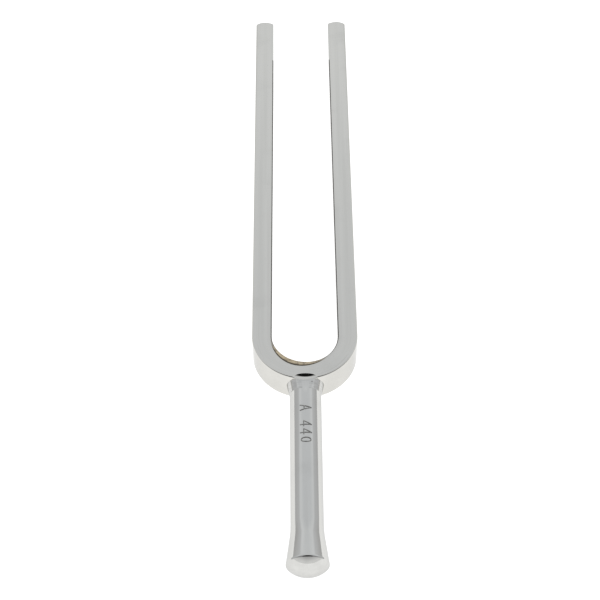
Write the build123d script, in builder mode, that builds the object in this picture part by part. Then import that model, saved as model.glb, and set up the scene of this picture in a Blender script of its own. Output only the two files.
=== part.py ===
"""Tuning fork for the note A at 440 Hz: a bent steel bar with a turned stem brazed to its yoke.

Millimetres. The fork lies on its back: +Z is up out of its front face, +Y runs towards the prong tips and
X is across it. The origin is on the surface that it lies on, under the middle of its length.
"""

import os
from math import asin, atan2, cos, degrees, hypot, radians, sin, sqrt, tan

from build123d import *

# The bent bar
FORK_WIDTH = 16.8  # across both prongs
PRONG_WIDTH = 3.15  # of the yoke, and of each prong where the bend ends
TIP_WIDTH = 3.28  # of each prong at its tip, before tuning
BAR_DEPTH = 5.4  # front face to back face
PRONG_REACH = 74.4  # centre of the bend to the prong tips
TIP_RADIUS = 2.4  # each tip is rounded as seen from the front
TIP_CORNER = 0.35
BAR_EDGE = 0.25  # rounded edges of the drawn bar
RELIEF_DEPTH = 0.04  # ground off the inner faces at the tips to tune the fork
RELIEF_LENGTH = 10.6

# The turned stem
STEM_RADIUS = 2.48
STEM_LENGTH = 30.75  # yoke to the rim of the foot
FLARE_LENGTH = 6.4  # of the part that widens towards the foot
FLARE_ANGLE = 7.8  # degrees, of the straight end of the flare
FOOT_RADIUS = 3.2  # at its widest, on the rim
FOOT_EDGE = 0.45  # the rim is rounded between the flare and the domed end
DOME_HEIGHT = 1.6  # widest line of the rim to the end
SPIGOT_RADIUS = 1.55
SPIGOT_LENGTH = 2.2
SPIGOT_CHAMFER = 0.2

# The brazed joint between them
SOCKET_CLEARANCE = 0.04  # radial
SHOULDER_GAP = 0.15  # thickness of braze between the stem's shoulder and the yoke
BRAZE_LENGTH = 1.5  # that the braze runs down the stem from the yoke
BRAZE_RADIUS = 2.8  # around the stem at the yoke
BRAZE_STEP = 0.12  # front and back of the braze lie this far below the bar's faces
GROOVE_DEPTH = 0.36  # left in front and back by the wheel that ground the braze level
GROOVE_OFFSET = 0.15  # from the yoke's outermost line to the groove's lowest line
GROOVE_STEEP_RADIUS = 1.2  # section of the groove on the yoke's side
GROOVE_EASY_RADIUS = 20.0  # and on the stem's side
GROOVE_STEEP_ARC = 80.0  # degrees that each side of the section turns through
GROOVE_EASY_ARC = 12.0
WHEEL_RADIUS = 6.0

# The pitch mark cut into the stem, "A 440", from the yoke towards the foot
MARK_START = 5.2  # yoke to the middle of the first letter
MARK_HEIGHT = 1.7
MARK_WIDTH = 0.95  # of one letter
MARK_PITCH = 1.45  # from one letter to the next
MARK_STROKE = 0.2
MARK_DEPTH = 0.12

# Each letter as straight strokes between ends given in half widths along and half heights across
LETTER_A = [((-1, -1), (0, 1)), ((0, 1), (1, -1)), ((-0.65, -0.3), (0.65, -0.3))]
LETTER_4 = [((0.4, -1), (0.4, 1)), ((0.4, 1), (-1, -0.4)), ((-1, -0.4), (1, -0.4))]
STROKE_LETTERS = {0: LETTER_A, 2: LETTER_4, 3: LETTER_4}  # by place; place 1 is the space
ZERO_PLACE = 4

# Places that follow from the sizes
outer_bend = FORK_WIDTH / 2
inner_bend = outer_bend - PRONG_WIDTH
inner_tip = outer_bend - TIP_WIDTH
prong_x = (outer_bend + inner_tip) / 2
axis_z = FOOT_RADIUS  # the stem's axis, and the middle of the bar's depth
tip_y = (PRONG_REACH + outer_bend + STEM_LENGTH + DOME_HEIGHT) / 2
bend_y = tip_y - PRONG_REACH
yoke_y = bend_y - outer_bend
shoulder_y = yoke_y - SHOULDER_GAP
foot_y = yoke_y - STEM_LENGTH
groove_y = yoke_y + GROOVE_OFFSET

middle = Plane((0, 0, axis_z))
stem_axis = Axis((0, 0, axis_z), (0, 1, 0))
across_stem = Plane((0, 0, axis_z), x_dir=(1, 0, 0), z_dir=(0, 1, 0))


def wheel_groove(side):
    """What the grinding wheel swept on one side of the joint: side is 1 for the front and -1 for the back."""
    steep, easy = radians(GROOVE_STEEP_ARC), radians(GROOVE_EASY_ARC)
    rim_r = WHEEL_RADIUS
    yoke_side = (
        rim_r - GROOVE_STEEP_RADIUS * (1 - cos(steep)),
        groove_y + GROOVE_STEEP_RADIUS * sin(steep),
    )
    stem_side = (
        rim_r - GROOVE_EASY_RADIUS * (1 - cos(easy)),
        groove_y - GROOVE_EASY_RADIUS * sin(easy),
    )
    wheel_z = axis_z + side * (BAR_DEPTH / 2 - GROOVE_DEPTH + WHEEL_RADIUS)
    with BuildPart() as groove:
        with BuildSketch(Plane((0, 0, wheel_z))):
            with BuildLine():
                RadiusArc((rim_r, groove_y), yoke_side, -GROOVE_STEEP_RADIUS)
                Polyline(yoke_side, (0, yoke_side[1]), (0, stem_side[1]), stem_side)
                RadiusArc(stem_side, (rim_r, groove_y), -GROOVE_EASY_RADIUS)
            make_face()
        revolve(axis=Axis((0, 0, wheel_z), (0, 1, 0)))
    return groove.part


grooves = [wheel_groove(1), wheel_groove(-1)]

# The bent bar: both prongs and the yoke are one length of steel.
with BuildPart() as tine_bar:
    tip_side_y = tip_y - TIP_RADIUS + sqrt(TIP_RADIUS**2 - (TIP_WIDTH / 2) ** 2)
    with BuildSketch(middle):
        with BuildLine():
            RadiusArc((-outer_bend, bend_y), (outer_bend, bend_y), -outer_bend)
            RadiusArc((inner_bend, bend_y), (-inner_bend, bend_y), inner_bend)
            for side in (1, -1):
                outer_corner = (side * outer_bend, tip_side_y)
                inner_corner = (side * inner_tip, tip_side_y)
                Line((side * outer_bend, bend_y), outer_corner)
                ThreePointArc(outer_corner, (side * prong_x, tip_y), inner_corner)
                Line(inner_corner, (side * inner_bend, bend_y))
        make_face()
    extrude(amount=BAR_DEPTH / 2, both=True)
    fillet(tine_bar.edges().filter_by(Axis.Z).group_by(Axis.Y)[-1], TIP_CORNER)
    fillet(tine_bar.faces().filter_by(Axis.Z).edges(), BAR_EDGE)
    # The tuning relief is one pass of a grinding belt down the inner face of each prong.
    with Locations((0, tip_y - RELIEF_LENGTH / 2, axis_z)):
        Box(2 * (inner_tip + RELIEF_DEPTH), RELIEF_LENGTH, 2 * BAR_DEPTH, mode=Mode.SUBTRACT)
    with BuildSketch(across_stem.offset(yoke_y)):
        Circle(SPIGOT_RADIUS + SOCKET_CLEARANCE)
    extrude(amount=SPIGOT_LENGTH, mode=Mode.SUBTRACT)
    add(grooves, mode=Mode.SUBTRACT)
tine_bar.part.label = "tine_bar"


def engraved_stroke(place, start, end):
    """One straight stroke of a letter, with the round ends that an engraving cutter leaves."""
    run = (end[0] - start[0]) * MARK_WIDTH / 2
    rise = (end[1] - start[1]) * MARK_HEIGHT / 2
    along = place * MARK_PITCH + (start[0] + end[0]) * MARK_WIDTH / 4
    across = (start[1] + end[1]) * MARK_HEIGHT / 4
    with Locations((along, across)):
        SlotCenterToCenter(hypot(run, rise), MARK_STROKE, rotation=degrees(atan2(rise, run)))


# The pitch mark: upright strokes, cut off at an even depth below the round of the stem.
with BuildPart() as pitch_mark:
    above_mark = (0, yoke_y - MARK_START, axis_z + FOOT_RADIUS)
    with BuildSketch(Plane(above_mark, x_dir=(0, -1, 0), z_dir=(0, 0, 1))):
        for place, letter in STROKE_LETTERS.items():
            for start, end in letter:
                engraved_stroke(place, start, end)
        with Locations((ZERO_PLACE * MARK_PITCH, 0)):
            Ellipse(MARK_WIDTH / 2, MARK_HEIGHT / 2)
            Ellipse(
                MARK_WIDTH / 2 - MARK_STROKE, MARK_HEIGHT / 2 - MARK_STROKE, mode=Mode.SUBTRACT
            )
    extrude(amount=-FOOT_RADIUS)
    with BuildSketch(across_stem.offset(foot_y)):
        Circle(STEM_RADIUS - MARK_DEPTH)
    extrude(amount=STEM_LENGTH, mode=Mode.SUBTRACT)

# The stem: spigot, shoulder, round shank, flared foot and domed end, turned in one piece.
with BuildPart() as stem:
    flare = radians(FLARE_ANGLE)
    flare_y = foot_y + FLARE_LENGTH
    # The rim's arc touches the flare's straight end and, inside it, the dome's arc.
    rim_centre_r = FOOT_RADIUS - FOOT_EDGE
    rim = (rim_centre_r + FOOT_EDGE * cos(flare), foot_y + FOOT_EDGE * sin(flare))
    growth = rim[0] - STEM_RADIUS
    flare_radius = ((flare_y - rim[1]) * tan(flare) - growth) / (1 / cos(flare) - 1)
    straight = (
        STEM_RADIUS + flare_radius * (1 - cos(flare)),
        flare_y - flare_radius * sin(flare),
    )
    dome_radius = (DOME_HEIGHT**2 + rim_centre_r**2 - FOOT_EDGE**2) / (2 * (DOME_HEIGHT - FOOT_EDGE))
    dome_turn = asin(rim_centre_r / (dome_radius - FOOT_EDGE))
    dome_rim = (
        rim_centre_r + FOOT_EDGE * sin(dome_turn),
        foot_y - FOOT_EDGE * cos(dome_turn),
    )
    spigot_y = shoulder_y + SPIGOT_LENGTH
    with BuildSketch(middle):
        with BuildLine():
            Polyline(
                (0, foot_y - DOME_HEIGHT),
                (0, spigot_y),
                (SPIGOT_RADIUS - SPIGOT_CHAMFER, spigot_y),
                (SPIGOT_RADIUS, spigot_y - SPIGOT_CHAMFER),
                (SPIGOT_RADIUS, shoulder_y),
                (STEM_RADIUS, shoulder_y),
                (STEM_RADIUS, flare_y),
            )
            RadiusArc((STEM_RADIUS, flare_y), straight, -flare_radius)
            Line(straight, rim)
            RadiusArc(rim, dome_rim, FOOT_EDGE)
            RadiusArc(dome_rim, (0, foot_y - DOME_HEIGHT), dome_radius)
        make_face()
    revolve(axis=stem_axis)
    add(grooves, mode=Mode.SUBTRACT)
    add(pitch_mark.part, mode=Mode.SUBTRACT)
stem.part.label = "stem"

# The braze: a film behind the stem's shoulder, swelling into a sloping fillet between stem and yoke.
with BuildPart() as braze_fillet:
    braze_end_y = yoke_y - BRAZE_LENGTH
    slope = (BRAZE_RADIUS - STEM_RADIUS) / BRAZE_LENGTH
    inside_bar_y = yoke_y + PRONG_WIDTH / 3
    with BuildSketch(middle):
        with BuildLine():
            Polyline(
                (0, braze_end_y),
                (STEM_RADIUS, braze_end_y),
                (STEM_RADIUS + slope * (inside_bar_y - braze_end_y), inside_bar_y),
                (0, inside_bar_y),
                close=True,
            )
        make_face()
    revolve(axis=stem_axis)
    with Locations((0, yoke_y, axis_z)):
        Box(FORK_WIDTH, FORK_WIDTH, BAR_DEPTH - 2 * BRAZE_STEP, mode=Mode.INTERSECT)
    with BuildSketch(across_stem.offset(shoulder_y)):
        Circle(STEM_RADIUS)
    extrude(amount=braze_end_y - shoulder_y, mode=Mode.SUBTRACT)
    with BuildSketch(across_stem.offset(shoulder_y)):
        Circle(SPIGOT_RADIUS + SOCKET_CLEARANCE)
    extrude(amount=outer_bend, mode=Mode.SUBTRACT)
    add(grooves, mode=Mode.SUBTRACT)
    add(tine_bar.part, mode=Mode.SUBTRACT)
braze_fillet.part.label = "braze_fillet"

os.makedirs("parts", exist_ok=True)
for piece in (tine_bar, stem, braze_fillet):
    export_step(piece.part, f"parts/{piece.part.label}.step")
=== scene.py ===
"""Tuning fork: the looks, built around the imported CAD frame.

Metres, in the CAD's own frame: +Z is up out of the fork's front face, +Y runs towards the prong
tips and X is across it. Each visible piece is a smooth, dense mesh of the same shape as the CAD
node that it replaces.
"""

import math

import bpy
import numpy as np
from mathutils import Matrix, Vector


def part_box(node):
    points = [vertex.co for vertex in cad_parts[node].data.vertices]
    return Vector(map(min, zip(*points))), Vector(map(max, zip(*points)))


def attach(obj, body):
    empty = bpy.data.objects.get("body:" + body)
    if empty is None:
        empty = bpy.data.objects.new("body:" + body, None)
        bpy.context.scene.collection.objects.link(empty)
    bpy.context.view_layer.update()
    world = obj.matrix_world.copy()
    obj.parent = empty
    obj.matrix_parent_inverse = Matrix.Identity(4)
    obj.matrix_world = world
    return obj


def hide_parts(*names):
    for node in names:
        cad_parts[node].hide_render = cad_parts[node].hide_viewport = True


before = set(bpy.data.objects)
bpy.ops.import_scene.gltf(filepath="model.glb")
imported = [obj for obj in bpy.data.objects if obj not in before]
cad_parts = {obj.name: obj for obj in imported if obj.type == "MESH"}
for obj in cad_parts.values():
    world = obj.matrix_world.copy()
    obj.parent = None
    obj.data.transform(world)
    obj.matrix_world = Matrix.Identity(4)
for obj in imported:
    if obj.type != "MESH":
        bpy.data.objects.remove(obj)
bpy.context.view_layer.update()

MM = 0.001

# Sizes of the CAD model that its nodes' boxes don't give
PRONG_WIDTH = 3.15 * MM
TIP_WIDTH = 3.28 * MM
TIP_RADIUS = 2.4 * MM
TIP_CORNER = 0.35 * MM
BAR_EDGE = 0.25 * MM
RELIEF_DEPTH = 0.04 * MM
RELIEF_LENGTH = 10.6 * MM
STEM_RADIUS = 2.48 * MM
FLARE_LENGTH = 6.4 * MM
FLARE_ANGLE = math.radians(7.8)
FOOT_EDGE = 0.45 * MM
DOME_HEIGHT = 1.6 * MM
SPIGOT_RADIUS = 1.55 * MM
SPIGOT_LENGTH = 2.2 * MM
SHOULDER_GAP = 0.15 * MM
BRAZE_LENGTH = 1.5 * MM
BRAZE_RADIUS = 2.8 * MM
BRAZE_STEP = 0.12 * MM
GROOVE_DEPTH = 0.36 * MM
GROOVE_OFFSET = 0.15 * MM
GROOVE_STEEP_RADIUS = 1.2 * MM
GROOVE_EASY_RADIUS = 20.0 * MM
WHEEL_RADIUS = 6.0 * MM
MARK_START = 5.2 * MM
MARK_HEIGHT = 1.7 * MM
MARK_WIDTH = 0.95 * MM
MARK_PITCH = 1.45 * MM
MARK_STROKE = 0.2 * MM
MARK_DEPTH = 0.12 * MM

# Places read from the frame
bar_low, bar_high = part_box("tine_bar")
stem_low, stem_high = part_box("stem")
axis_z = (bar_low.z + bar_high.z) / 2
half_depth = (bar_high.z - bar_low.z) / 2
outer_bend = (bar_high.x - bar_low.x) / 2
inner_bend = outer_bend - PRONG_WIDTH
inner_tip = outer_bend - TIP_WIDTH
prong_x = (outer_bend + inner_tip) / 2
tip_y = bar_high.y
yoke_y = bar_low.y
bend_y = yoke_y + outer_bend
relief_y = tip_y - RELIEF_LENGTH
shoulder_y = yoke_y - SHOULDER_GAP
groove_y = yoke_y + GROOVE_OFFSET
foot_radius = (stem_high.x - stem_low.x) / 2
foot_end_y = stem_low.y
foot_y = foot_end_y + DOME_HEIGHT


# ---------------------------------------------------------------- mesh helpers


def stations(*stops):
    """Stations through a list of (place, step) stops; each step holds as far as the next stop."""
    runs = []
    for (start, step), (end, _) in zip(stops, stops[1:]):
        count = max(1, math.ceil(abs(end - start) / step - 1e-6))
        runs.append(np.linspace(start, end, count + 1)[:-1])
    return np.concatenate(runs + [[stops[-1][0]]])


def smooth_step(x):
    x = np.clip(x, 0, 1)
    return x * x * (3 - 2 * x)


def smooth_min(a, b, blend):
    """The smaller of a and b, with the crease between them rounded over a width of blend."""
    h = np.clip(0.5 + 0.5 * (b - a) / blend, 0, 1)
    return b + (a - b) * h - blend * h * (1 - h)


def grid_quads(index):
    """Quads over a 2-D array of point numbers."""
    a, b = index[:-1, :-1], index[:-1, 1:]
    c, d = index[1:, 1:], index[1:, :-1]
    return np.stack([a, b, c, d], axis=-1).reshape(-1, 4)


def make_piece(name, node, slot, points, quads, normals=None, masks=None):
    """A smooth-shaded piece that stands for a CAD node.

    normals are the exact directions at the points, or zero where Blender works them out; masks are named
    numbers at the points, for the materials."""
    mesh = bpy.data.meshes.new(name)
    faces = quads.tolist() if isinstance(quads, np.ndarray) else quads
    mesh.from_pydata(points.tolist(), [], faces)
    for mask, values in (masks or {}).items():
        layer = mesh.attributes.new(mask, "FLOAT", "POINT")
        layer.data.foreach_set("value", np.asarray(values, np.float32))
    mesh.validate()
    mesh.shade_smooth()
    if normals is not None:
        mesh.normals_split_custom_set_from_vertices(normals.tolist())
    piece = bpy.data.objects.new(name, mesh)
    bpy.context.scene.collection.objects.link(piece)
    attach(piece, "root")
    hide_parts(node)
    return piece


# ---------------------------------------------------------------- the dressed joint


RIM_BLEND = 0.05 * MM  # how softly the groove's rim is rounded


def groove_height(x, y):
    """Height above the stem's axis of the surface that the dressing wheel left, at a place in plan."""
    along = y - groove_y
    steep_at = np.clip(along, 0, GROOVE_STEEP_RADIUS)
    easy_at = np.clip(-along, 0, GROOVE_EASY_RADIUS)
    steep = GROOVE_STEEP_RADIUS - np.sqrt(GROOVE_STEEP_RADIUS**2 - steep_at**2)
    easy = GROOVE_EASY_RADIUS - np.sqrt(GROOVE_EASY_RADIUS**2 - easy_at**2)
    section_radius = np.maximum(WHEEL_RADIUS - steep - easy, 0)
    rise = WHEEL_RADIUS - np.sqrt(np.maximum(section_radius**2 - x**2, 0))
    past_wheel = np.maximum(along - GROOVE_STEEP_RADIUS, 0)
    return half_depth - GROOVE_DEPTH + rise + past_wheel


# ---------------------------------------------------------------- the bar

EDGE_STEPS = 16  # facets around each rounded edge
RELIEF_EDGE = 0.06 * MM  # the relief was ground after the bar's edges were rounded
RELIEF_STEP = 0.05 * MM  # how softly the relief begins
TIP_FAN = (0.2, 0.45, 0.7, 0.9)  # rows between a tip's outline and the first straight row
TIP_FAN_REACH = 0.5 * MM  # from the tip's rounded corner to the first straight row
# Bending drew the bar's inner edge in and flattened it, a little left of the middle of the bend
DRAWN_AT = math.radians(251)
DRAWN_SPREAD = math.radians(70)
DRAWN_WIDTH = 0.95 * MM  # added to the edge's width on the face
DRAWN_DEPTH = 0.20 * MM  # and to its depth down the inner wall
DRAWN_IN = 0.36 * MM  # how far the inner wall bulges into the gap
# The groove in the bar lies within this of the middle of x and of the yoke's outermost line
GROOVE_HALF = 2.3 * MM
GROOVE_REACH = 1.35 * MM

# A side of the bar is a dict of arrays. Each place on it has a point and a normal in plan, the width
# of its rounded edge on the face, that edge's depth down the side, and two shares for the masks:
# how far the dark line of painted shade shows (shaded_edge) and how far bending drew the edge in (drawn).


def relief_share(y):
    """0 below the tuning relief, 1 on it."""
    return smooth_step((y - relief_y) / RELIEF_STEP + 0.5)


def side_place(point, normal, width, depth, shaded_edge=0, drawn=0):
    """One place on a side, or a whole side where each value is an array."""
    return {
        "point": point, "normal": normal, "width": width, "depth": depth,
        "shaded_edge": shaded_edge, "drawn": drawn,
    }  # fmt: skip


def prong_section(y, side):
    """The outer and the inner place of a section across a prong: side is 1 for +X, -1 for -X."""
    share = relief_share(y)
    inner_x = inner_bend + (inner_tip - inner_bend) * (y - bend_y) / (tip_y - bend_y)
    inner_x += (inner_tip + RELIEF_DEPTH - inner_x) * share
    inner_edge = BAR_EDGE + (RELIEF_EDGE - BAR_EDGE) * share
    outer = side_place((side * outer_bend, y), (side, 0), BAR_EDGE, BAR_EDGE)
    inner = side_place((side * inner_x, y), (-side, 0), inner_edge, inner_edge, 1 - share)
    return outer, inner


def bend_section(angle):
    """The same at a direction from the bend's centre."""
    out = np.array([math.cos(angle), math.sin(angle)])
    centre = np.array([0, bend_y])
    drawn = float(smooth_step(1 - abs(angle - DRAWN_AT) / DRAWN_SPREAD))
    width = BAR_EDGE + DRAWN_WIDTH * drawn
    depth = BAR_EDGE + DRAWN_DEPTH * drawn
    inner_point = centre + (inner_bend - DRAWN_IN * drawn) * out
    outer = side_place(centre + outer_bend * out, out, BAR_EDGE, BAR_EDGE)
    return outer, side_place(inner_point, -out, width, depth, 1, drawn)


def tip_corner_y():
    """Where a prong's straight side ends and the rounded corner of its tip begins."""
    reach = TIP_WIDTH / 2 - TIP_CORNER
    return tip_y - TIP_RADIUS + math.sqrt((TIP_RADIUS - TIP_CORNER) ** 2 - reach**2)


def tip_outline(shares):
    """Points and normals over a tip, from one side to the other, for a prong in the middle of x."""
    corner_y = tip_corner_y()
    reach = TIP_WIDTH / 2 - TIP_CORNER
    crown_y = tip_y - TIP_RADIUS
    lean = math.atan2(corner_y - crown_y, reach)
    corner_length = TIP_CORNER * lean
    total = 2 * corner_length + TIP_RADIUS * (math.pi - 2 * lean)
    points, normals = [], []
    for s in shares * total:
        if s < corner_length:
            angle, centre, radius = math.pi - s / TIP_CORNER, (-reach, corner_y), TIP_CORNER
        elif s > total - corner_length:
            angle, centre, radius = (total - s) / TIP_CORNER, (reach, corner_y), TIP_CORNER
        else:
            angle = math.pi - lean - (s - corner_length) / TIP_RADIUS
            centre, radius = (0, crown_y), TIP_RADIUS
        normal = np.array([math.cos(angle), math.sin(angle)])
        points.append(np.array(centre) + radius * normal)
        normals.append(normal)
    return np.array(points), np.array(normals)


def bar_plan():
    """The bar's sections from one tip to the other, and the share across them of each column."""
    columns = stations((0, 0.05 * MM), (1.3 * MM, 0.3 * MM), (PRONG_WIDTH, 1)) / PRONG_WIDTH
    straight = stations(
        (tip_corner_y() - TIP_FAN_REACH, 0.6 * MM),
        (relief_y + RELIEF_STEP, RELIEF_STEP / 5),
        (relief_y - RELIEF_STEP, 1.5 * MM),
        (bend_y, 1),
    )
    bend = np.radians(stations((180, 1.5), (252, 0.4), (288, 1.5), (360, 1)))
    sections = [prong_section(y, -1) for y in straight]
    sections += [bend_section(angle) for angle in bend[1:-1]]
    sections += [prong_section(y, 1) for y in straight[::-1]]
    return columns, sections


def tip_row(columns, side):
    """One prong's tip, as a side of the bar from its outer corner to its inner corner."""
    # Even spacing over the tip, whatever the columns' spacing is further down.
    points, normals = tip_outline(0.5 * columns + 0.5 * np.linspace(0, 1, len(columns)))
    inner = smooth_step((points[:, 0] / TIP_WIDTH + 0.5 - 0.7) / 0.3)
    points[:, 0] -= RELIEF_DEPTH * smooth_step(points[:, 0] / TIP_WIDTH + 0.5)
    edges = BAR_EDGE + (RELIEF_EDGE - BAR_EDGE) * inner
    mirror = np.array([-side, 1])
    none = np.zeros(len(edges))
    return side_place(points * mirror + (side * prong_x, 0), normals * mirror, edges, edges, none, none)


def gather(places):
    """A list of places as a side of the bar."""
    return {name: np.array([place[name] for place in places], float) for name in places[0]}


def face_edge(side):
    """Where the flat face ends along a side of the bar."""
    return side["point"] - side["normal"] * side["width"][:, None]


def add_fans(left, right, run, column):
    """A side of the bar with the rows of the tips' fans added at both ends."""
    full = {}
    for name, values in run.items():
        if name == "normal":
            start, end = [values[0]] * len(TIP_FAN), [values[-1]] * len(TIP_FAN)
        else:
            start = [left[name][column] + (values[0] - left[name][column]) * t for t in TIP_FAN]
            end = [right[name][column] + (values[-1] - right[name][column]) * t for t in TIP_FAN]
        full[name] = np.concatenate([start, values, end[::-1]])
    return full


def build_bar():
    """The bent bar as one closed skin: front and back faces of matching rows, with a band between."""
    columns, sections = bar_plan()
    outer, inner = (gather(places) for places in zip(*sections))
    across = face_edge(inner) - face_edge(outer)
    rows = face_edge(outer)[:, None] + across[:, None] * columns[None, :, None]

    left, right = tip_row(columns, -1), tip_row(columns, 1)
    left_edge, right_edge = face_edge(left), face_edge(right)
    left_fan = [left_edge + (rows[0] - left_edge) * t for t in TIP_FAN]
    right_fan = [right_edge + (rows[-1] - right_edge) * t for t in TIP_FAN]
    plan = np.concatenate([[left_edge], left_fan, rows, right_fan[::-1], [right_edge]])

    outer = add_fans(left, right, outer, 0)
    inner = add_fans(left, right, inner, len(columns) - 1)
    outline = {
        name: np.concatenate([left[name], inner[name], right[name][::-1], outer[name][::-1]])
        for name in left
    }
    return skin_bar(plan, outline)


def edge_ring(outline, side, turn):
    """One ring of points around a rounded edge: plan, heights, normals, and masks of scale and of the
    painted shade line.

    Each edge is a quarter of an ellipse. side is 1 in front and -1 at the back, and turn runs from 0
    on the face to a right angle on the bar's side."""
    out, width, depth = outline["normal"], outline["width"], outline["depth"]
    reach = math.sin(turn)
    plan = outline["point"] - out * (width * (1 - reach))[:, None]
    heights = side * (half_depth - depth * (1 - math.cos(turn)))
    normals = np.column_stack([out * (depth * reach)[:, None], side * width * math.cos(turn)])
    normals /= np.linalg.norm(normals, axis=1)[:, None]
    # Scale was left where bending drew the edge in. A dark line of painted shade, standing for the shaded
    # gap between the prongs, lies at the top of the drawn edge, and over the whole of the rounded edge
    # elsewhere.
    drawn = np.clip(3 * outline["drawn"], 0, 1)
    scale = drawn * smooth_step(reach / 0.1) * smooth_step((1 - reach) / 0.02)
    drawn_line = smooth_step(reach / 0.05) * smooth_step((0.32 - reach) / 0.08)
    edge_line = smooth_step((reach - 0.25) / 0.25) * smooth_step((1 - reach) / 0.005)
    shade_line = outline["shaded_edge"] * (drawn * drawn_line + (1 - drawn) * edge_line)
    return plan, heights, normals, scale, shade_line


def face_ring(plan, side):
    """The points of a flat face, with the same arrays as edge_ring."""
    count = len(plan)
    none = np.zeros(count)
    return plan, np.full(count, side * half_depth), np.tile((0, 0, float(side)), (count, 1)), none, none


def skin_bar(plan, outline):
    """Points, quads, normals and masks of the bar from the plan of its faces and its outline."""
    turns = np.linspace(0, math.pi / 2, EDGE_STEPS + 1)[1:]
    levels = [(1, turn) for turn in turns] + [(-1, turn) for turn in turns[::-1]]
    flat = plan.reshape(-1, 2)
    rings = [face_ring(flat, 1), *(edge_ring(outline, *level) for level in levels), face_ring(flat, -1)]
    xy, z, normals, scale, shade_line = (np.concatenate(arrays) for arrays in zip(*rings))

    # The dressing wheel took away whatever stood above its groove. Blender works out the normals
    # there and on the step of the tuning relief.
    z = np.sign(z) * smooth_min(np.abs(z), groove_height(xy[:, 0], xy[:, 1]), RIM_BLEND)
    groove = (np.abs(xy[:, 0]) < GROOVE_HALF) & (xy[:, 1] < yoke_y + GROOVE_REACH)
    step = np.abs(xy[:, 1] - relief_y) < 1.5 * RELIEF_STEP
    normals[groove | step] = 0

    number = np.arange(len(flat)).reshape(plan.shape[:2])
    rim = np.concatenate([number[0], number[1:-1, -1], number[-1, ::-1], number[-2:0:-1, 0]])
    around = len(rim)
    back_start = len(flat) + len(levels) * around
    loops = [rim] + [len(flat) + k * around + np.arange(around) for k in range(len(levels))]
    loops.append(back_start + rim)
    quads = [grid_quads(number)[:, ::-1]]
    for upper, lower in zip(loops, loops[1:]):
        quads.append(np.column_stack([upper, np.roll(upper, -1), np.roll(lower, -1), lower]))
    quads.append(grid_quads(number + back_start))
    points = np.column_stack([xy, z + axis_z])
    return points, np.concatenate(quads), normals, {"scale": scale, "shade_line": shade_line}


# ---------------------------------------------------------------- the stem

LETTER_STEP = 0.03 * MM  # mesh step over the engraved letters
LETTER_ROOM = (0.7 * MM, 0.15 * MM)  # that step goes this far past their middles and tops
CUT_ROOM = (0.8 * MM, 0.2 * MM)  # the same for the area where the letters are cut
CUT_FLANK = 0.45 * MARK_STROKE  # width of a stroke's sloping side
DRESSED_ABOVE = 1.9 * MM  # the groove is cut only into surfaces this far from the stem's axis plane
DRESSED_LENGTH = 3.0 * MM  # and ends within this of the shoulder

# Each letter as straight strokes between ends given in half widths along and half heights across
LETTER_A = [((-1, -1), (0, 1)), ((0, 1), (1, -1)), ((-0.65, -0.3), (0.65, -0.3))]
LETTER_4 = [((0.4, -1), (0.4, 1)), ((0.4, 1), (-1, -0.4)), ((-1, -0.4), (1, -0.4))]
LAST_PLACE = 4  # of the mark's letters; place 1 is the space in "A 440"

mark_y = yoke_y - MARK_START
mark_middle_y = mark_y - LAST_PLACE * MARK_PITCH / 2


def stem_profile():
    """Stations (y, radius, normal along y, normal outward) from the spigot to the middle of the dome."""
    flare_y = foot_y + FLARE_LENGTH
    rim_y, rim_radius = flare_end()
    growth = rim_radius - STEM_RADIUS
    flare_radius = (flare_y - rim_y) * math.tan(FLARE_ANGLE) - growth
    flare_radius /= 1 / math.cos(FLARE_ANGLE) - 1
    spigot_y = shoulder_y + SPIGOT_LENGTH
    out = [(spigot_y, 0, 1, 0), (spigot_y, SPIGOT_RADIUS, 1, 0), (spigot_y, SPIGOT_RADIUS, 0, 1)]
    out += [(shoulder_y, SPIGOT_RADIUS, 0, 1), (shoulder_y, SPIGOT_RADIUS, 1, 0)]
    out += [(shoulder_y, STEM_RADIUS, 1, 0)]
    shank = stations(
        (shoulder_y, 0.05 * MM),
        (shoulder_y - DRESSED_LENGTH, 0.4 * MM),
        (mark_y + LETTER_ROOM[0], LETTER_STEP),
        (mark_y - LAST_PLACE * MARK_PITCH - LETTER_ROOM[0], 1.0 * MM),
        (flare_y, 1),
    )
    out += [(y, STEM_RADIUS, 0, 1) for y in shank]
    for turn in np.linspace(0, FLARE_ANGLE, 13)[1:]:
        y = flare_y - flare_radius * math.sin(turn)
        radius = STEM_RADIUS + flare_radius * (1 - math.cos(turn))
        out.append((y, radius, math.sin(turn), math.cos(turn)))
    out += rim_and_dome(*out[-1][:2])
    return np.array(out)


def flare_end():
    """Where the flare's straight end runs into the rounded rim: y and radius."""
    return (
        foot_y + FOOT_EDGE * math.sin(FLARE_ANGLE),
        foot_radius - FOOT_EDGE + FOOT_EDGE * math.cos(FLARE_ANGLE),
    )


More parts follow.
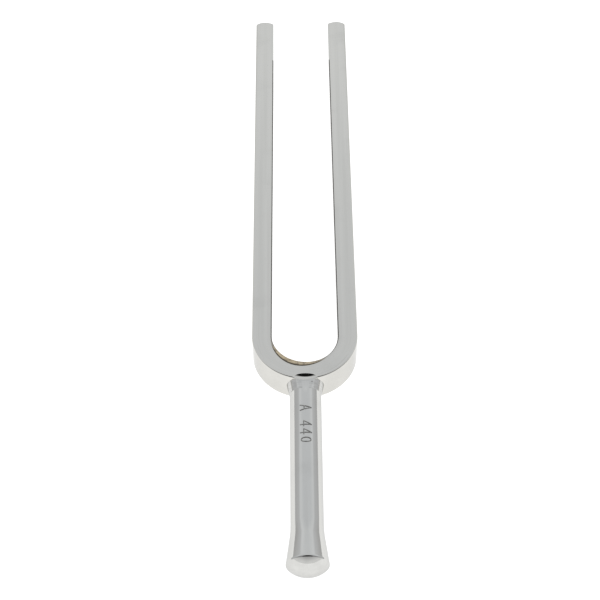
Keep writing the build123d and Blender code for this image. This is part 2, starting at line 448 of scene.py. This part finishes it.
def rim_and_dome(straight_y, straight_radius):
    """The rest of the flare, the rounded rim and the dome."""
    out = []
    rim_y, rim_radius = flare_end()
    for t in np.linspace(0, 1, 16)[1:]:
        y = straight_y + (rim_y - straight_y) * t
        radius = straight_radius + (rim_radius - straight_radius) * t
        out.append((y, radius, math.sin(FLARE_ANGLE), math.cos(FLARE_ANGLE)))
    centre_radius = foot_radius - FOOT_EDGE
    dome_radius = DOME_HEIGHT**2 + centre_radius**2 - FOOT_EDGE**2
    dome_radius /= 2 * (DOME_HEIGHT - FOOT_EDGE)
    dome_y = foot_end_y + dome_radius
    dome_turn = math.asin(centre_radius / (dome_radius - FOOT_EDGE))
    for turn in np.linspace(FLARE_ANGLE, dome_turn - math.pi / 2, 15)[1:]:
        n_y, n_out = math.sin(turn), math.cos(turn)
        out.append((foot_y + FOOT_EDGE * n_y, centre_radius + FOOT_EDGE * n_out, n_y, n_out))
    for turn in np.linspace(dome_turn, 0, 24)[1:]:
        n_y, n_out = -math.cos(turn), math.sin(turn)
        out.append((dome_y + dome_radius * n_y, dome_radius * n_out, n_y, n_out))
    return out


def mark_strokes():
    """The letters of the mark as straight strokes, in metres from the first one's middle."""
    ring = [(math.cos(a), math.sin(a)) for a in np.radians(np.arange(0, 361, 15))]
    inset = np.array([1 - MARK_STROKE / MARK_WIDTH, 1 - MARK_STROKE / MARK_HEIGHT])
    letter_0 = [(np.array(a) * inset, np.array(b) * inset) for a, b in zip(ring, ring[1:])]
    half = np.array([MARK_WIDTH / 2, MARK_HEIGHT / 2])
    strokes = []
    for place, letter in ((0, LETTER_A), (2, LETTER_4), (3, LETTER_4), (LAST_PLACE, letter_0)):
        shift = np.array([place * MARK_PITCH, 0])
        strokes += [(np.array(start) * half + shift, np.array(end) * half + shift) for start, end in letter]
    return strokes


def mark_depth(x, y):
    """How deep the engraving is at a place in plan, as a share of MARK_DEPTH."""
    place = np.column_stack([mark_y - y, x])
    near = np.full(len(place), 1.0)
    for start, end in mark_strokes():
        run = end - start
        share = np.clip(((place - start) @ run) / (run @ run), 0, 1)
        distance = np.linalg.norm(place - start - share[:, None] * run, axis=1)
        near = np.minimum(near, distance)
    return smooth_step((MARK_STROKE / 2 - near) / CUT_FLANK)


def turned(profile, around):
    """Points and normals of a profile carried around the stem's axis, with that axis at height 0."""
    c, s = np.cos(around), np.sin(around)
    y, radius, n_y, n_out = (column[:, None] for column in profile.T)
    level = np.ones(len(around))
    points = np.stack([radius * c, y * level, radius * s], axis=-1)
    normals = np.stack([n_out * c, n_y * level, n_out * s], axis=-1)
    return points.reshape(-1, 3), normals.reshape(-1, 3)


def dress(points):
    """Takes the dressing wheel's grooves out of the stem's points, and says which points moved."""
    x, y, z = points.T
    shank = (y <= shoulder_y + 1e-9) & (np.hypot(x, z) > SPIGOT_RADIUS)
    lift = np.abs(z)
    dressed = np.minimum(smooth_min(lift, groove_height(x, y), RIM_BLEND), lift)
    dressed = np.where(shank & (lift > DRESSED_ABOVE), dressed, lift)
    points[:, 2] = np.sign(z) * dressed
    return (np.abs(dressed - lift) > 1e-8) & (y > shoulder_y - DRESSED_LENGTH)


def engrave(points, zone):
    """Presses the pitch mark into the stem's points in a zone, straight towards the stem's axis."""
    mark = np.zeros(len(points))
    mark[zone] = mark_depth(points[zone, 0], points[zone, 1])
    depth = 1 - mark * MARK_DEPTH / STEM_RADIUS
    points[:, 0] *= depth
    points[:, 2] *= depth
    return mark


def build_stem():
    """The turned stem: a profile carried around its axis, dressed at the joint and engraved."""
    profile = stem_profile()
    mark_half = math.asin((MARK_HEIGHT / 2 + LETTER_ROOM[1]) / STEM_RADIUS)
    quarter = math.pi / 2
    around = stations(
        (quarter - mark_half, LETTER_STEP / STEM_RADIUS),
        (quarter + mark_half, 0.06),
        (3 * quarter - 0.5, 0.03),
        (3 * quarter + 0.5, 0.06),
        (quarter - mark_half + 4 * quarter, 1),
    )[:-1]
    points, normals = turned(profile, around)
    moved = dress(points)
    straight = (profile[:, 3] == 1).repeat(len(around))
    zone = (points[:, 2] > 0) & (np.abs(points[:, 0]) < MARK_HEIGHT / 2 + CUT_ROOM[1]) & straight
    reach = LAST_PLACE * MARK_PITCH / 2 + CUT_ROOM[0]
    zone &= np.abs(points[:, 1] - mark_middle_y) < reach
    mark = engrave(points, zone)
    normals[moved | zone] = 0

    index = np.arange(len(points)).reshape(len(profile), len(around))
    quads = grid_quads(np.concatenate([index, index[:, :1]], axis=1))
    points[:, 2] += axis_z
    return weld_poles(points, quads, normals, mark, index)


def weld_poles(points, quads, normals, mark, index):
    """Closes the two ends on the axis, where a whole row is one point."""
    keep = np.arange(len(points))
    keep[index[0]] = index[0, 0]
    keep[index[-1]] = index[-1, 0]
    faces = []
    for face in keep[quads].tolist():
        corners = [p for k, p in enumerate(face) if p != face[k - 1]]
        if len(corners) > 2:
            faces.append(corners)
    used = np.unique(np.concatenate([np.array(f) for f in faces]))
    renumber = np.full(len(points), -1)
    renumber[used] = np.arange(len(used))
    faces = [[int(renumber[p]) for p in f] for f in faces]
    return points[used], faces, normals[used], {"mark": mark[used]}


# ---------------------------------------------------------------- the braze

BRAZE_BELOW = 0.004 * MM  # its groove lies this far below the stem's, so they share no surface
BRAZE_BACK = 0.3 * MM  # its hidden back lies this far inside the stem
SEAM_AT = 52  # degrees from the top of the braze
SEAM_SPREAD = 3


def build_braze():
    """The sloping fillet of braze around the stem, ground level front and back.

    It runs on a little way inside the bar, and its hidden back closes it inside the stem."""
    turns = np.radians(np.arange(0, 360, 1.5))
    end_y, inside_y = yoke_y - BRAZE_LENGTH, yoke_y + PRONG_WIDTH / 3
    slope = (BRAZE_RADIUS - STEM_RADIUS) / BRAZE_LENGTH
    y = stations((end_y, 0.05 * MM), (inside_y, 1))
    radius = STEM_RADIUS + slope * (y - end_y)
    y = np.concatenate([y, [inside_y, end_y]])
    radius = np.concatenate([radius, [STEM_RADIUS - BRAZE_BACK] * 2])
    x, z = np.outer(np.cos(turns), radius), np.outer(np.sin(turns), radius)
    points = np.stack([x, np.tile(y, (len(turns), 1)), z], axis=-1).reshape(-1, 3)

    level = np.full(len(points), half_depth - BRAZE_STEP)
    limit = smooth_min(level, groove_height(points[:, 0], points[:, 1]) - BRAZE_BELOW, RIM_BLEND)
    lift = np.abs(points[:, 2])
    points[:, 2] = np.sign(points[:, 2]) * np.minimum(smooth_min(lift, limit, RIM_BLEND), lift)
    points[:, 2] += axis_z

    # A thin dark line runs where the ground top turns over into the side.
    from_top = np.abs(np.mod(np.degrees(turns), 180) - 90)
    seam = np.repeat(np.exp(-(((from_top - SEAM_AT) / SEAM_SPREAD) ** 2)), len(y))
    index = np.arange(len(points)).reshape(len(turns), len(y))
    closed = np.concatenate([index, index[:1]], axis=0)
    closed = np.concatenate([closed, closed[:, :1]], axis=1)
    return points, grid_quads(closed), None, {"seam": seam}


# ---------------------------------------------------------------- materials


class Nodes:
    """A material or world node tree, with short ways to add to it."""

    def __init__(self, tree):
        self.tree = tree
        tree.nodes.clear()

    def add(self, kind, inputs=None, **settings):
        """A node with its settings and inputs; an input is a value or another node's output."""
        node = self.tree.nodes.new("ShaderNode" + kind)
        for name, value in settings.items():
            setattr(node, name, value)
        for name, value in (inputs or {}).items():
            if isinstance(value, bpy.types.NodeSocket):
                self.tree.links.new(value, node.inputs[name])
            else:
                node.inputs[name].default_value = value
        return node

    def math(self, operation, *values):
        return self.add("Math", dict(enumerate(values)), operation=operation).outputs[0]

    def noise(self, vector, scale, detail):
        inputs = {"Vector": vector, "Scale": scale, "Detail": detail}
        return self.add("TexNoise", inputs).outputs[0]

    def cells(self, vector, scale):
        """The distance to the nearest of many scattered points."""
        return self.add("TexVoronoi", {"Vector": vector, "Scale": scale}).outputs["Distance"]

    def stretched(self, vector, factors):
        return self.add("VectorMath", {0: vector, 1: factors}, operation="MULTIPLY").outputs[0]

    def mask(self, name):
        """A number that the mesh carries at its points."""
        return self.add("Attribute", attribute_name=name).outputs["Fac"]

    def ramp(self, value, low, high, to_low=0.0, to_high=1.0):
        """value from low to high becomes to_low to to_high, smoothly, and holds outside them."""
        source = {"Value": value, "From Min": low, "From Max": high}
        target = {"To Min": to_low, "To Max": to_high}
        node = self.add("MapRange", {**source, **target}, interpolation_type="SMOOTHSTEP")
        return node.outputs["Result"]

    def mix(self, share, a, b):
        """The colour a, turning into b."""
        node = self.add("Mix", {}, data_type="RGBA")
        for socket, value in ((0, share), (6, a), (7, b)):
            if isinstance(value, bpy.types.NodeSocket):
                self.tree.links.new(value, node.inputs[socket])
            elif socket == 0:
                node.inputs[0].default_value = value
            else:
                node.inputs[socket].default_value = (*value, 1)
        return node.outputs[2]


BAR_NICKEL = (0.656, 0.647, 0.612)
STEM_NICKEL = (0.592, 0.590, 0.570)
# The scale's dark colour; a far darker share of it paints the shade line on the inner edges
DARK_SCALE_AND_SHADE = (0.30, 0.24, 0.16)
TAN_SCALE = (0.66, 0.55, 0.37)
NEAR_BLACK = (0.10, 0.095, 0.085)
EDGE_TINT = (0.8, 0.8, 0.8, 1)  # keeps surfaces seen at a low angle darker than the floor
HAIRS_REACH = 5 * MM  # hairline scratches fade out this far up the prongs


def toned(colour, share):
    """A colour made darker or lighter."""
    return tuple(share * c for c in colour)


class Plate:
    """Polished nickel plate in the making: its nodes, and its colour, roughness and metalness so far."""

    def __init__(self, material, colour, follow_bend):
        n = self.nodes = Nodes(material.node_tree)
        self.plain = colour
        self.place = n.add("TexCoord").outputs["Object"]
        self.run = self.bend_run() if follow_bend else n.stretched(self.place, (1, 0.02, 1))
        self.smudge = n.noise(self.place, 160.0, 5.0)
        streaks = n.ramp(n.noise(self.run, 900.0, 2.0), 0.3, 0.7)
        self.colour = n.mix(streaks, toned(colour, 0.96), toned(colour, 1.03))
        self.stain(n.ramp(self.smudge, 0.52, 0.75, 0.0, 0.5), toned(colour, 0.9))
        self.roughness = n.ramp(self.smudge, 0.35, 0.75, 0.045, 0.10)
        self.metal = 1.0

    def bend_run(self):
        """Coordinates across and along the polishing, which follows the bar around its bend."""
        n = self.nodes
        parts = n.add("SeparateXYZ", {"Vector": self.place})
        self.y = parts.outputs["Y"]
        below = n.math("MINIMUM", n.math("SUBTRACT", self.y, bend_y), 0.0)
        around = n.add("CombineXYZ", {"X": parts.outputs["X"], "Y": below})
        across = n.add("VectorMath", {0: around.outputs[0]}, operation="LENGTH").outputs["Value"]
        along = n.math("MULTIPLY", self.y, 0.02)
        return n.add("CombineXYZ", {"X": across, "Y": along}).outputs[0]

    def stain(self, share, colour):
        self.colour = self.nodes.mix(share, self.colour, colour)

    def roughen(self, share, amount):
        n = self.nodes
        self.roughness = n.math("ADD", self.roughness, n.math("MULTIPLY", share, amount))

    def finish(self):
        """Fine polishing lines and pits as relief, then the shader."""
        n = self.nodes
        lines = n.math("MULTIPLY", n.noise(self.run, 5000.0, 3.0), 0.3)
        pits = n.ramp(n.cells(self.place, 1400.0), 0.0, 0.12, -0.2, 0.0)
        relief = n.math("ADD", lines, pits)
        bump = n.add("Bump", {"Height": relief, "Strength": 0.05, "Distance": 0.05 * MM})
        inputs = {
            "Base Color": self.colour,
            "Metallic": self.metal,
            "Roughness": self.roughness,
            "Specular Tint": EDGE_TINT,
            "Normal": bump.outputs[0],
        }
        shader = n.add("BsdfPrincipled", inputs)
        output = n.add("OutputMaterial")
        n.tree.links.new(shader.outputs[0], output.inputs["Surface"])


def add_scale_and_shade(plate):
    """The bend's tan scale, and a dark line of painted shade along the bar's inner edges."""
    n = plate.nodes
    rust = n.noise(plate.place, 1500.0, 4.0)
    scale, shade_line = n.mask("scale"), n.mask("shade_line")
    plate.stain(scale, n.mix(n.ramp(rust, 0.30, 0.62), DARK_SCALE_AND_SHADE, TAN_SCALE))
    # Painted shade: the inner edges' line is made near black, for the shade of the gap between the prongs
    plate.stain(shade_line, toned(DARK_SCALE_AND_SHADE, 0.12))
    # The scale and the painted shade line are both made rougher and less metallic
    crust_and_shade = n.math("MAXIMUM", scale, shade_line)
    plate.roughen(crust_and_shade, 0.35)
    plate.metal = n.math("SUBTRACT", 1.0, n.math("MULTIPLY", crust_and_shade, 0.9))


def add_hairs(plate):
    """Hairline scratches around the bend, on a plate that follows it."""
    n = plate.nodes
    near_bend = n.ramp(plate.y, bend_y + HAIRS_REACH, bend_y, 0.0, 0.6)
    hairs = n.math("MULTIPLY", n.ramp(n.noise(plate.run, 3500.0, 4.0), 0.55, 0.68), near_bend)
    hairs = n.math("MULTIPLY", hairs, n.ramp(plate.smudge, 0.42, 0.58))
    plate.stain(hairs, toned(plate.plain, 0.82))


def add_grinding(plate):
    """The braze's grinding marks and flux pits, and a thin dark line along its seam."""
    n = plate.nodes
    grit = n.noise(n.stretched(plate.place, (0.3, 1, 0.3)), 4000.0, 3.0)
    plate.stain(n.ramp(grit, 0.40, 0.62, 0.0, 0.7), toned(plate.plain, 0.84))
    plate.stain(n.ramp(n.cells(plate.place, 1000.0), 0.10, 0.16, 0.45, 0.0), NEAR_BLACK)
    plate.stain(n.math("MULTIPLY", n.mask("seam"), 0.7), NEAR_BLACK)


def add_mark_darkening(plate):
    """Darker, rougher colour in the engraved pitch mark."""
    cut = plate.nodes.mask("mark")
    plate.stain(plate.nodes.math("MULTIPLY", cut, 0.5), NEAR_BLACK)
    plate.roughen(cut, 0.2)


def nickel(name, colour, *wear, follow_bend=False):
    """Nickel plate of a colour, with fine polishing marks, smudges and pits, and then its own wear."""
    material = bpy.data.materials.new(name)
    material.use_nodes = True
    plate = Plate(material, colour, follow_bend)
    for add_wear in wear:
        add_wear(plate)
    plate.finish()
    return material


# ---------------------------------------------------------------- camera, light and surroundings


def toward(azimuth, elevation):
    """A direction, with azimuth from +Y towards +X."""
    azimuth, elevation = math.radians(azimuth), math.radians(elevation)
    flat = math.cos(elevation)
    return (flat * math.sin(azimuth), flat * math.cos(azimuth), math.sin(elevation))


# The photograph's viewpoint, from the centre of the bend on the front face
CAMERA_AT = Vector((-0.74, -137.97, 185.15)) * MM
CAMERA_PITCH = math.radians(51.92)  # downwards
CAMERA_YAW = math.radians(0.02)
CAMERA_ROLL = math.radians(-0.61)
CAMERA_LENS = 87.2  # for a sensor 36 mm wide
FLOOR_HALF = 3.0
FLOOR_GLOW = 1.03  # bright enough by itself that the fork's own shadow doesn't show
CAMERA_DARK = toward(180, 60)  # middle of the photographer's dark shape, as the fork sees it
CAMERA_DARK_SPAN = (math.radians(23), math.radians(27))  # solid within the first, gone past the second


def add_camera():
    at = CAMERA_AT + Vector((0, bend_y, axis_z + half_depth))
    flat = math.cos(CAMERA_PITCH)
    forward = Vector(
        (math.sin(CAMERA_YAW) * flat, math.cos(CAMERA_YAW) * flat, -math.sin(CAMERA_PITCH))
    )
    level = forward.cross(Vector((0, 0, 1))).normalized()
    above = level.cross(forward)
    right = level * math.cos(CAMERA_ROLL) + above * math.sin(CAMERA_ROLL)
    up = above * math.cos(CAMERA_ROLL) - level * math.sin(CAMERA_ROLL)
    data = bpy.data.cameras.new("camera")
    data.lens = CAMERA_LENS
    data.sensor_width = 36
    data.clip_start = 0.01
    data.clip_end = 20
    camera = bpy.data.objects.new("camera", data)
    bpy.context.scene.collection.objects.link(camera)
    turn = Matrix((right, up, -forward)).transposed().to_4x4()
    camera.matrix_world = Matrix.Translation(at) @ turn
    bpy.context.scene.camera = camera


def add_floor():
    """A white light table."""
    half = FLOOR_HALF
    corners = [(-half, -half, 0), (half, -half, 0), (half, half, 0), (-half, half, 0)]
    mesh = bpy.data.meshes.new("floor")
    mesh.from_pydata(corners, [], [(0, 1, 2, 3)])
    floor = bpy.data.objects.new("floor", mesh)
    bpy.context.scene.collection.objects.link(floor)
    material = bpy.data.materials.new("floor_white")
    material.use_nodes = True
    shader = material.node_tree.nodes["Principled BSDF"]
    shader.inputs["Base Color"].default_value = (0.3, 0.3, 0.3, 1)
    shader.inputs["Roughness"].default_value = 1.0
    shader.inputs["Specular IOR Level"].default_value = 0.0
    shader.inputs["Emission Color"].default_value = (1, 1, 1, 1)
    shader.inputs["Emission Strength"].default_value = FLOOR_GLOW
    mesh.materials.append(material)


def add_world():
    """A soft studio by direction: a pale ceiling, dimmer low on the sides, with two unlike ends."""
    world = bpy.data.worlds.new("studio")
    bpy.context.scene.world = world
    world.use_nodes = True
    n = Nodes(world.node_tree)
    direction = n.add("TexCoord").outputs["Generated"]
    parts = n.add("SeparateXYZ", {"Vector": direction})
    height, along = parts.outputs["Z"], parts.outputs["Y"]

    sky = n.mix(n.ramp(height, 0.62, 0.82), (0.86, 0.88, 0.905), (0.76, 0.78, 0.81))
    sky = n.mix(n.ramp(height, 0.84, 0.93), sky, (0.805, 0.82, 0.84))
    sky = n.mix(n.ramp(height, 0.60, 0.48), sky, (0.70, 0.71, 0.73))
    # The far end of the room, darkest straight ahead of the fork's prongs
    low = n.ramp(height, 0.50, 0.10)
    sky = n.mix(n.math("MULTIPLY", low, n.ramp(along, 0.3, 0.8)), sky, (0.58, 0.58, 0.58))
    sky = n.mix(n.math("MULTIPLY", low, n.ramp(along, 0.75, 0.97)), sky, (0.05, 0.045, 0.04))
    # The near end, dim above and nearly white at the table's edge
    sky = n.mix(n.ramp(along, 0.1, -0.35), sky, (0.30, 0.30, 0.31))
    near_low = n.math("MULTIPLY", n.ramp(along, 0.0, -0.4), n.ramp(height, 0.75, 0.05))
    sky = n.mix(near_low, sky, (0.95, 0.955, 0.96))
    # The photographer and camera
    solid, gone = (math.cos(angle) for angle in CAMERA_DARK_SPAN)
    at_camera = n.add("VectorMath", {0: direction, 1: CAMERA_DARK}, operation="DOT_PRODUCT")
    sky = n.mix(n.ramp(at_camera.outputs["Value"], gone, solid), sky, (0.01, 0.01, 0.01))
    background = n.add("Background", {"Color": sky, "Strength": 1.0})
    output = n.add("OutputWorld")
    n.tree.links.new(background.outputs[0], output.inputs["Surface"])


def add_light():
    """A soft box overhead."""
    data = bpy.data.lights.new("soft_box", "AREA")
    data.shape = "DISK"
    data.size = 0.8
    data.energy = 2.0
    light = bpy.data.objects.new("soft_box", data)
    light.location = (0, 0, 1.2)
    light.visible_glossy = False
    bpy.context.scene.collection.objects.link(light)


# ---------------------------------------------------------------- the scene

bar = make_piece("tine_bar_plated", "tine_bar", "nickel_bar", *build_bar())
bar.data.materials.append(nickel("bar_nickel", BAR_NICKEL, add_scale_and_shade, add_hairs, follow_bend=True))
stem = make_piece("stem_plated", "stem", "nickel_stem", *build_stem())
stem.data.materials.append(nickel("stem_nickel", STEM_NICKEL, add_mark_darkening))
braze = make_piece("braze_fillet_plated", "braze_fillet", "nickel_braze", *build_braze())
braze.data.materials.append(nickel("braze_nickel", STEM_NICKEL, add_grinding))

bpy.context.scene.view_settings.view_transform = "Standard"
add_camera()
add_floor()
add_world()
add_light()
